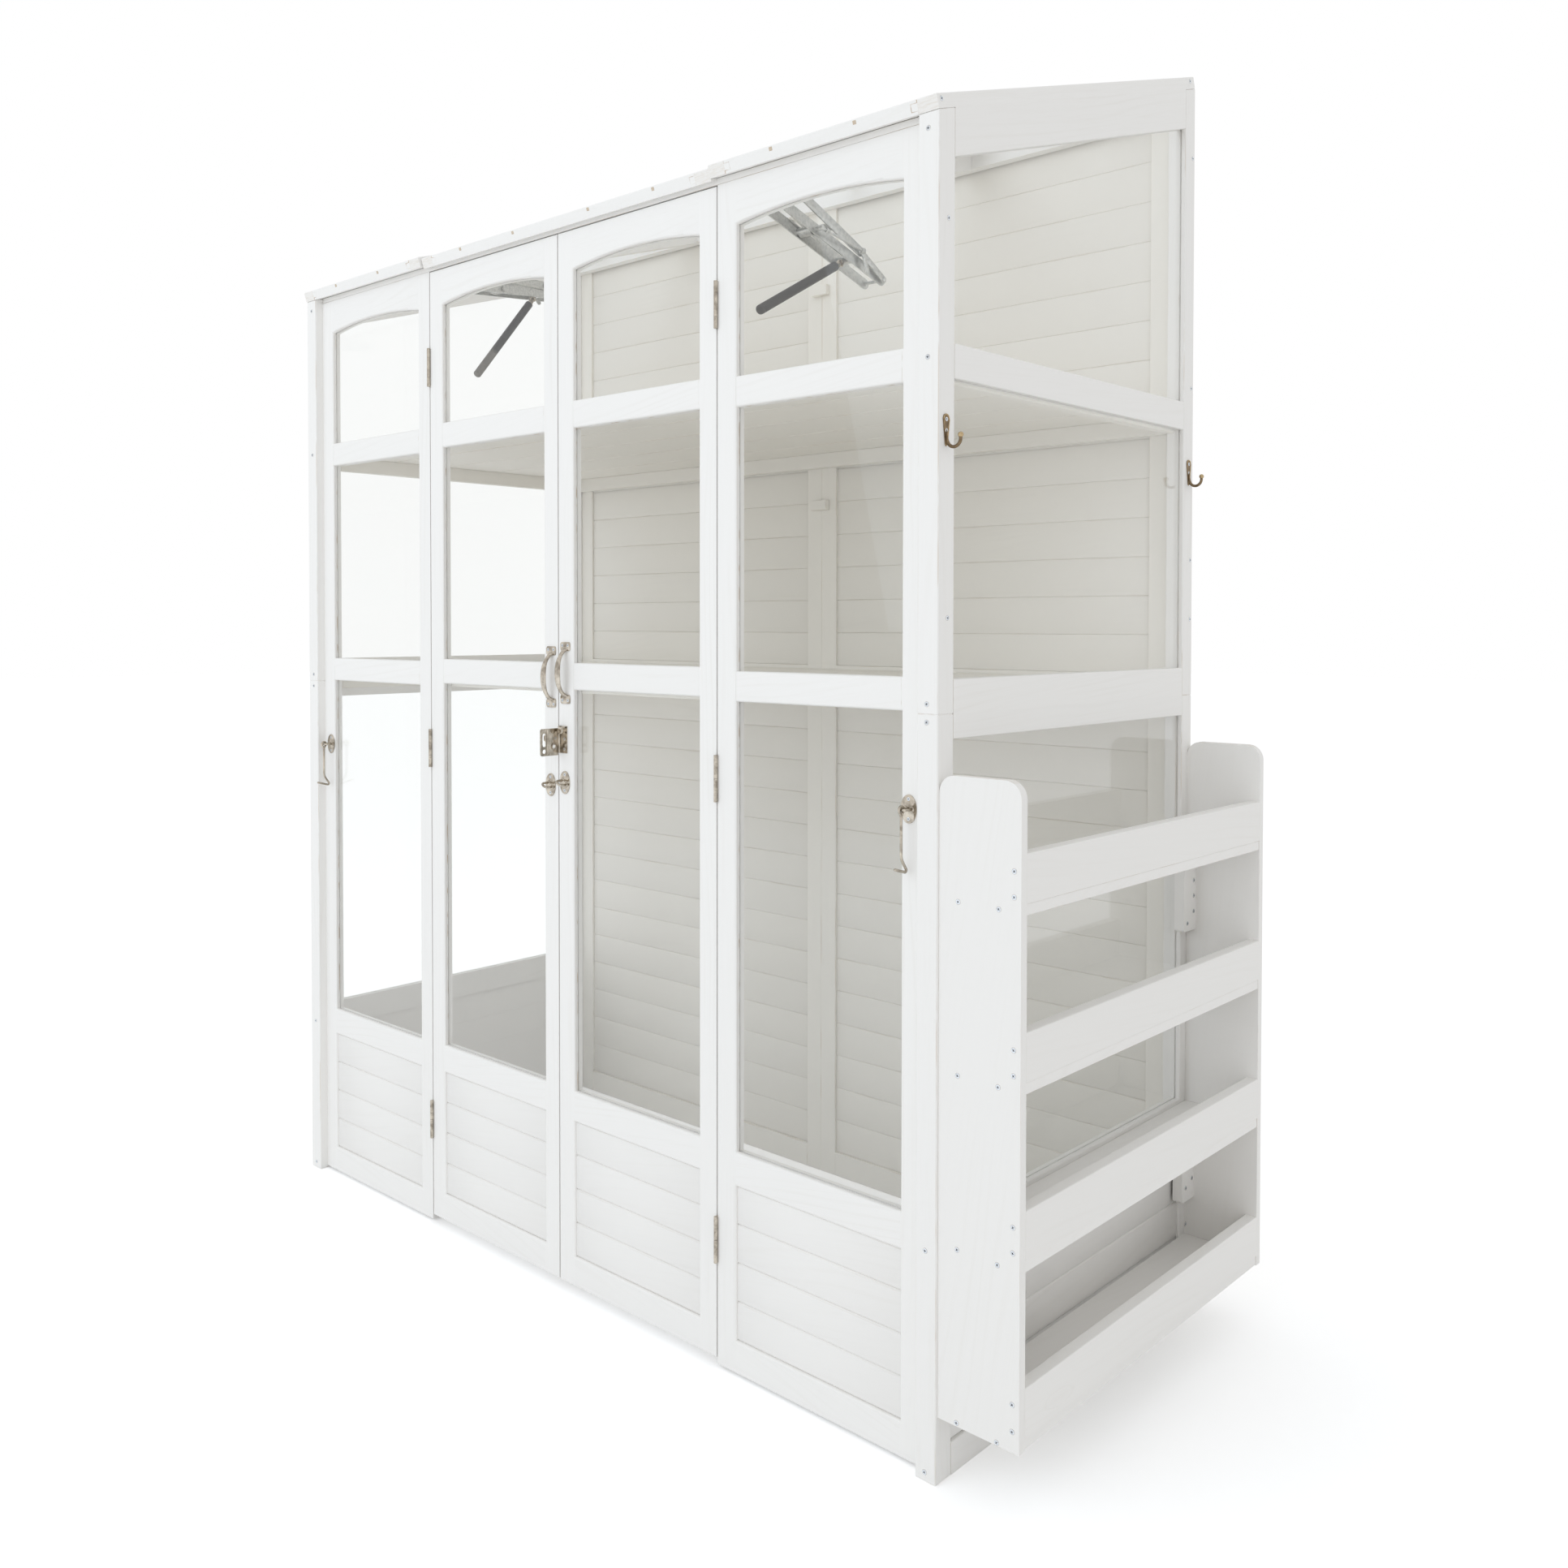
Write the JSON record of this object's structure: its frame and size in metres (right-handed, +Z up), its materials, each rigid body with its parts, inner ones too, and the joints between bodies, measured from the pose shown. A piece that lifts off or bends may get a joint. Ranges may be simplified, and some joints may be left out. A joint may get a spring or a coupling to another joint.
{
  "type": "wooden mini greenhouse",
  "caption": "Wooden lean-to mini greenhouse with glazed double doors, fixed side panels, a glazed pent roof with liftable lids, and a slatted side rack.",
  "frame": {"origin": "centre of the bounding box in plan, on the ground under the posts", "axes": "+Z up, +Y from the doors to the back wall, +X towards the side rack (to the right for someone who faces the doors)"},
  "size_m": [1.812, 0.7848, 2.1373],
  "materials": {
    "white_wood": "white stain, satin, grain faintly visible",
    "clear_glass": "clear, smooth",
    "polished_nickel": "polished nickel plate",
    "galvanised_steel": "zinc plated, satin",
    "black_tube": "black, semi-gloss",
    "grey_tube": "dark grey, semi-gloss",
    "antique_brass": "darkened brass"
  },
  "bodies": {
    "carcass": {"front_left_post": "white_wood", "front_right_post": "white_wood", "back_left_post": "white_wood", "back_right_post": "white_wood", "side_rails": "white_wood", "side_boards": "white_wood", "side_glass": "clear_glass", "left_panel_frame": "white_wood", "right_panel_frame": "white_wood", "panel_boards": "white_wood", "panel_glass": "clear_glass", "back_frames": "white_wood", "back_boards": "white_wood", "roof_beams": "white_wood", "sill_beam": "white_wood", "roof_middle_frame": "white_wood", "roof_middle_glass": "clear_glass", "lower_shelf": "white_wood", "upper_shelf": "white_wood", "shelf_bearers": "white_wood", "rack_sides": "white_wood", "rack_shelves": "white_wood", "rack_rails": "white_wood", "rack_strips": "white_wood", "door_hinge_pins": "polished_nickel", "hook_plates": "polished_nickel", "coat_hooks": "antique_brass", "lid_hinge_bases": "polished_nickel", "opener_brackets": "galvanised_steel"},
    "left_door": {"left_door_frame": "white_wood", "left_door_boards": "white_wood", "left_door_glass": "clear_glass", "left_door_hinge_leaves": "polished_nickel", "left_handle": "polished_nickel", "left_door_eye": "polished_nickel", "hasp_staple": "polished_nickel"},
    "left_lid": {"left_lid_frame": "white_wood", "left_lid_glass": "clear_glass", "left_lid_hinge_leaves": "polished_nickel", "left_opener_lid_bracket": "galvanised_steel"},
    "left_opener_base": {"left_opener_base_arm": "galvanised_steel", "left_opener_cylinder": "black_tube"},
    "left_opener_link": {"left_opener_lid_arm": "galvanised_steel"},
    "left_gate_hook": {"left_gate_hook": "polished_nickel"},
    "right_door": {"right_door_frame": "white_wood", "right_door_boards": "white_wood", "right_door_glass": "clear_glass", "right_door_hinge_leaves": "polished_nickel", "right_handle": "polished_nickel", "right_door_eye": "polished_nickel", "hasp_base": "polished_nickel"},
    "right_lid": {"right_lid_frame": "white_wood", "right_lid_glass": "clear_glass", "right_lid_hinge_leaves": "polished_nickel", "right_opener_lid_bracket": "galvanised_steel"},
    "right_opener_base": {"right_opener_base_arm": "galvanised_steel", "right_opener_cylinder": "grey_tube"},
    "right_opener_link": {"right_opener_lid_arm": "galvanised_steel"},
    "right_gate_hook": {"right_gate_hook": "polished_nickel"},
    "hasp_leaf": {"hasp_leaf": "polished_nickel"}
  },
  "joints": [
    {"name": "left_door_swing", "type": "hinge", "parent": "carcass", "child": "left_door", "pos_m": [-0.4645, -0.35117, 0.941], "axis": [0, 0, -1], "range_deg": [0, 160]},
    {"name": "right_door_swing", "type": "hinge", "parent": "carcass", "child": "right_door", "pos_m": [0.3325, -0.35117, 0.941], "axis": [0, 0, 1], "range_deg": [0, 160]},
    {"name": "left_lid_lift", "type": "hinge", "parent": "carcass", "child": "left_lid", "pos_m": [-0.686, 0.38982, 2.11864], "axis": [-1, 0, 0], "range_deg": [0, 24]},
    {"name": "left_opener_base_turn", "type": "hinge", "parent": "carcass", "child": "left_opener_base", "pos_m": [-0.496, -0.27287, 1.866], "axis": [1, 0, 0], "range_deg": [0, 35.3]},
    {"name": "left_opener_link_turn", "type": "hinge", "parent": "left_lid", "child": "left_opener_link", "pos_m": [-0.496, -0.27387, 1.8969], "axis": [1, 0, 0], "range_deg": [-3, 0]},
    {"name": "left_gate_hook_swing", "type": "hinge", "parent": "carcass", "child": "left_gate_hook", "pos_m": [-0.845, -0.36587, 0.927], "axis": [-1, 0, 0], "range_deg": [0, 100]},
    {"name": "right_lid_lift", "type": "hinge", "parent": "carcass", "child": "right_lid", "pos_m": [0.554, 0.38982, 2.11864], "axis": [-1, 0, 0], "range_deg": [0, 24]},
    {"name": "right_opener_base_turn", "type": "hinge", "parent": "carcass", "child": "right_opener_base", "pos_m": [0.364, -0.27287, 1.866], "axis": [1, 0, 0], "range_deg": [0, 54.3]},
    {"name": "right_opener_link_turn", "type": "hinge", "parent": "right_lid", "child": "right_opener_link", "pos_m": [0.364, -0.25937, 1.90151], "axis": [1, 0, 0], "range_deg": [0, 19.1]},
    {"name": "right_gate_hook_swing", "type": "hinge", "parent": "carcass", "child": "right_gate_hook", "pos_m": [0.713, -0.36587, 0.927], "axis": [-1, 0, 0], "range_deg": [0, 100]},
    {"name": "hasp_leaf_swing", "type": "hinge", "parent": "right_door", "child": "hasp_leaf", "pos_m": [-0.0615, -0.35042, 0.981], "axis": [0, 0, -1], "range_deg": [0, 88]}
  ],
  "couplings": [
    {"joint": "left_opener_base_turn", "follows": "left_lid_lift", "ratio": 1.4509},
    {"joint": "left_opener_link_turn", "follows": "left_lid_lift", "ratio": -0.1027},
    {"joint": "right_opener_base_turn", "follows": "right_lid_lift", "ratio": 2.2406},
    {"joint": "right_opener_link_turn", "follows": "right_lid_lift", "ratio": 0.7742}
  ]
}
